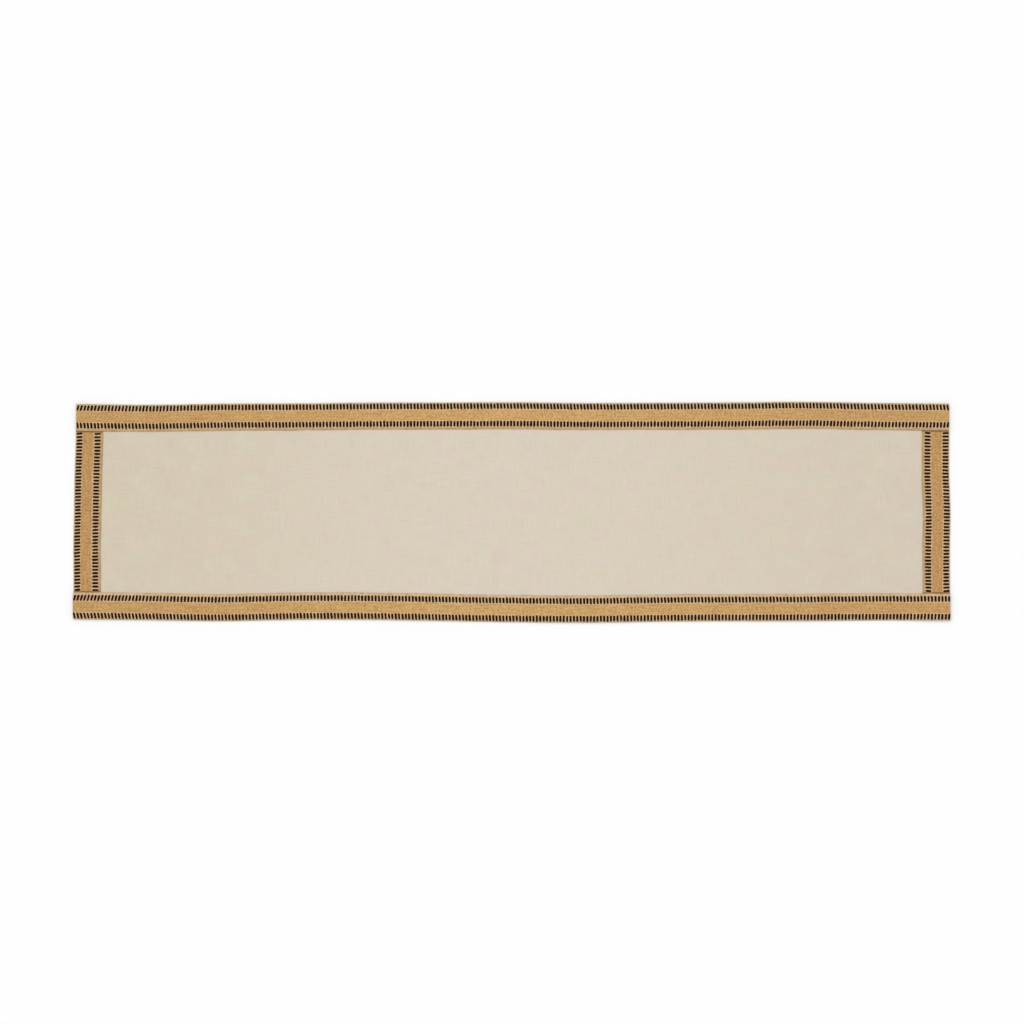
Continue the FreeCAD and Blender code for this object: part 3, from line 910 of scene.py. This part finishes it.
def jute_material(side):
    """Jute tape: a coarse plain weave of uneven, hairy yarns, paler near its bars, with painted
    shade.
    """
    gold, shaded_end_gold, margin = JUTE_COLOURS[side]
    nodes = Nodes(f"{side}_tape_jute")
    place = nodes.flat()
    along, inward, _ = nodes.split(place)
    warp_tone = nodes.noise(nodes.scaled(place, 22, 360), 3, 0.6)
    weft_tone = nodes.noise(nodes.scaled(place, 380, 60), 3, 0.6)
    lumps = nodes.noise(nodes.scaled(place, 230, 300), 3, 0.6)
    hue = nodes.noise(nodes.scaled(place, 34, 110), 3, 0.55, 0.5)
    fibres = nodes.noise(nodes.scaled(place, 240, 2400), 4, 0.7)
    cross_fibres = nodes.noise(nodes.scaled(place, 2400, 240), 4, 0.7)
    slant = nodes.math("ADD", along, inward)
    twist = nodes.math("SINE", nodes.math("MULTIPLY", slant, JUTE_TWIST))
    wavy_along = nodes.wobble(along, nodes.scaled(place, 260, 60), 2.4 * MM)
    wavy_inward = nodes.wobble(inward, nodes.scaled(place, 60, 260), 2.4 * MM)
    weave, warp_on_top = nodes.weave(wavy_inward, wavy_along, JUTE_PITCH, JUTE_PITCH)
    tone = nodes.mix(warp_on_top, weft_tone, warp_tone)
    fibre = nodes.mix(warp_on_top, cross_fibres, fibres)

    # Painted shade: a long tape darkens towards the runner's ends, where the light falls off.
    shade_to_ends = nodes.ramp(nodes.math("ABSOLUTE", along), 0.1 * HALF_LENGTH, 0.9 * HALF_LENGTH, 0, 0.7)
    colour = nodes.mix(shade_to_ends, gold, shaded_end_gold)
    colour = nodes.mix(nodes.ramp(hue, 0.45, 0.65, 0, 0.65), colour, srgb(226, 166, 108))
    colour = nodes.mix(nodes.ramp(hue, 0.34, 0.48, 0.65, 0), colour, srgb(208, 174, 98))
    half_bar = BAR_LENGTH / 2
    for middle in (OUTER_BARS, INNER_BARS):
        distance = nodes.math("ABSOLUTE", nodes.math("SUBTRACT", inward, middle))
        pale = nodes.ramp(distance, half_bar, half_bar + 3 * MM, 0.9, 0.0)
        colour = nodes.mix(pale, colour, srgb(250, 214, 170))
    selvedge_start = INNER_BARS + half_bar
    selvedge = nodes.ramp(inward, selvedge_start, selvedge_start + 2 * MM, 0, 0.8)
    colour = nodes.mix(selvedge, colour, margin)
    colour = nodes.mix(nodes.ramp(tone, 0.48, 0.68, 0, 0.8), colour, srgb(170, 130, 76))
    colour = nodes.mix(nodes.ramp(tone, 0.3, 0.5, 0.6, 0), colour, srgb(240, 208, 152))
    colour = nodes.mix(nodes.ramp(lumps, 0.48, 0.66, 0, 0.52), colour, srgb(160, 118, 64))
    colour = nodes.mix(nodes.ramp(lumps, 0.32, 0.48, 0.4, 0), colour, srgb(246, 210, 156))
    # Painted shade on the outer selvedge, darker where the tape's edge rolls down.
    outer_rim_shade = nodes.ramp(inward, EDGE_REVEAL, EDGE_REVEAL + 1.6 * MM, 0.65, 0)
    colour = nodes.mix(outer_rim_shade, colour, srgb(124, 98, 56))
    # Painted shade: a thin darker line along the inner selvedge.
    edge = inner_edge(side)
    inner_rim_shade = nodes.ramp(inward, edge - 0.9 * MM, edge - 0.3 * MM, 0, 0.3)
    colour = nodes.mix(inner_rim_shade, colour, srgb(160, 120, 78))
    if side not in LONG_SIDES:
        lap = nodes.math("ABSOLUTE", along)
        shade = nodes.ramp(lap, END_TAPE_HALF - LAP_DIP_WIDTH, END_TAPE_HALF, 0, 0.85)
        colour = nodes.mix(shade, colour, srgb(104, 76, 40))
    colour = nodes.mix(nodes.ramp(fibre, 0.48, 0.7, 0, 0.6), colour, srgb(156, 114, 62))
    colour = nodes.mix(nodes.ramp(fibre, 0.3, 0.46, 0.5, 0), colour, srgb(246, 218, 166))
    # Painted shade in the hollows between the yarns of the weave.
    colour = nodes.mix(nodes.ramp(weave, 0.1, 0.75, 0.45, 0.0), colour, srgb(136, 96, 50))
    height = nodes.math("MULTIPLY_ADD", lumps, 0.8, weave)
    height = nodes.math("MULTIPLY_ADD", fibre, 0.7, height)
    height = nodes.math("MULTIPLY_ADD", twist, 0.08, height)
    normal = nodes.bump(height, 0.4 * MM, 0.9)
    roughness = nodes.ramp(lumps, 0.3, 0.7, 0.7, 0.88)
    return nodes.finish(colour, roughness, normal, 0.12, (1.0, 0.88, 0.7, 1.0))


# How fast the plies of the black yarn turn, along a strand and across it.
PLY_ALONG = 2300
PLY_ACROSS = 3100


def black_yarn_material():
    """Soft spun near-black yarn with twisted fibres and painted shade between its plies."""
    nodes = Nodes("black_spun_yarn")
    place = nodes.flat()
    across, along, _ = nodes.split(place)
    fibres = nodes.noise(nodes.scaled(place, 4200, 420, 4200), 5, 0.75)
    tone = nodes.noise(nodes.scaled(place, 90, 90, 0), 2, 0.5)
    slant = nodes.math("MULTIPLY", across, PLY_ACROSS)
    plies = nodes.math("SINE", nodes.math("MULTIPLY_ADD", along, PLY_ALONG, slant))
    colour = nodes.mix(nodes.ramp(tone, 0.35, 0.65), srgb(30, 12, 5), srgb(50, 24, 13))
    colour = nodes.mix(nodes.ramp(fibres, 0.52, 0.68, 0, 0.7), colour, srgb(82, 58, 44))
    # Painted shade in the grooves between the plies.
    colour = nodes.mix(nodes.ramp(plies, -1, 0, 0.5, 0), colour, srgb(14, 6, 2))
    height = nodes.math("MULTIPLY_ADD", plies, 0.45, nodes.math("MULTIPLY", fibres, 1.3))
    normal = nodes.bump(height, 0.22 * MM, 1.0)
    roughness = nodes.ramp(fibres, 0.3, 0.7, 0.72, 0.9)
    return nodes.finish(colour, roughness, normal, 0.04, (0.7, 0.4, 0.3, 1.0), gloss=0.05)


# How fast the plies of the sewing threads turn.
THREAD_TWIST = 9000


def thread_material(name, light, dark):
    """Twisted sewing thread, with painted shade between its plies."""
    nodes = Nodes(name)
    place = nodes.flat()
    along, inward, _ = nodes.split(place)
    slant = nodes.math("ADD", along, inward)
    plies = nodes.math("SINE", nodes.math("MULTIPLY", slant, THREAD_TWIST))
    tone = nodes.noise(nodes.scaled(place, 300, 300, 0), 2, 0.5)
    colour = nodes.mix(nodes.ramp(tone, 0.3, 0.7), light, dark)
    # Painted shade in the grooves between the plies.
    colour = nodes.mix(nodes.ramp(plies, -1, 0, 0.4, 0), colour, dark)
    normal = nodes.bump(plies, 0.05 * MM, 0.6)
    roughness = nodes.ramp(tone, 0.3, 0.7, 0.45, 0.6)
    return nodes.finish(colour, roughness, normal, 0.1, (1.0, 0.95, 0.85, 1.0))


# ---------------------------------------------------------------- studio
FLOOR_HALF = 30
FLOOR_DROP = 0.3 * MM


def make_floor():
    """A plain, nearly white studio floor."""
    mesh = bpy.data.meshes.new("studio_floor")
    corners = [(-1, -1), (1, -1), (1, 1), (-1, 1)]
    points = [(x * FLOOR_HALF, y * FLOOR_HALF, -FLOOR_DROP) for x, y in corners]
    mesh.from_pydata(points, [], [(0, 1, 2, 3)])
    floor = bpy.data.objects.new("studio_floor", mesh)
    bpy.context.collection.objects.link(floor)
    nodes = Nodes("studio_paper")
    place = nodes.node("ShaderNodeTexCoord").outputs["Object"]
    grain = nodes.noise(nodes.scaled(place, 900, 900), 2)
    colour = nodes.mix(grain, (0.8, 0.8, 0.8, 1), (0.82, 0.82, 0.82, 1))
    nodes.feed(nodes.shader.inputs["Base Color"], colour)
    nodes.shader.inputs["Roughness"].default_value = 0.9
    nodes.shader.inputs["Specular IOR Level"].default_value = 0.1
    mesh.materials.append(nodes.material)


DOME_STRENGTH = 0.98
KEY_ENERGY = 1.05
# How wide the key light is, and how it leans, in degrees.
KEY_WIDTH = 50
KEY_LEAN = (-32, -30)


def make_lights():
    """An even white dome, and one broad soft light from the upper left."""
    world = bpy.data.worlds.new("studio_dome")
    world.use_nodes = True
    world.node_tree.nodes["Background"].inputs["Color"].default_value = (1, 1, 1, 1)
    world.node_tree.nodes["Background"].inputs["Strength"].default_value = DOME_STRENGTH
    bpy.context.scene.world = world
    lamp = bpy.data.lights.new("broad_key", "SUN")
    lamp.energy = KEY_ENERGY
    lamp.angle = math.radians(KEY_WIDTH)
    key = bpy.data.objects.new("broad_key", lamp)
    key.rotation_euler = (math.radians(KEY_LEAN[0]), math.radians(KEY_LEAN[1]), 0)
    bpy.context.collection.objects.link(key)


# The camera hangs a touch off the runner's middle, and the runner fills this share of its
# view's width.
CAMERA_OFFSET = (1.2 * MM, -0.3 * MM)
RUNNER_SHARE = 0.8555


def make_camera():
    """Straight down on the middle of the runner, with the back edge at the top."""
    data = bpy.data.cameras.new("overhead")
    data.lens = 85
    data.sensor_width = 36
    camera = bpy.data.objects.new("overhead", data)
    view_width = 2 * HALF_LENGTH / RUNNER_SHARE
    camera.location = (*CAMERA_OFFSET, view_width * data.lens / data.sensor_width)
    data.clip_end = 50
    bpy.context.collection.objects.link(camera)
    bpy.context.scene.camera = camera


# ---------------------------------------------------------------- build
cloth = make_ground_cloth(cloth_material())
black = black_yarn_material()
golden = thread_material("golden_thread", srgb(236, 208, 160), srgb(200, 164, 112))
natural = thread_material("natural_thread", srgb(226, 214, 196), srgb(196, 180, 156))
tapes, trims = {}, {}
for side in SIDES:
    tapes[side] = make_tape(side, jute_material(side))
    trims[side] = [make_bar_row(side, row, black) for row in ("outer", "inner")]
    trims[side].append(make_thread(side, "needle", golden))
    trims[side].append(make_thread(side, "bobbin", natural))

make_floor()
make_lights()
make_camera()
bpy.context.scene.view_settings.view_transform = "Standard"
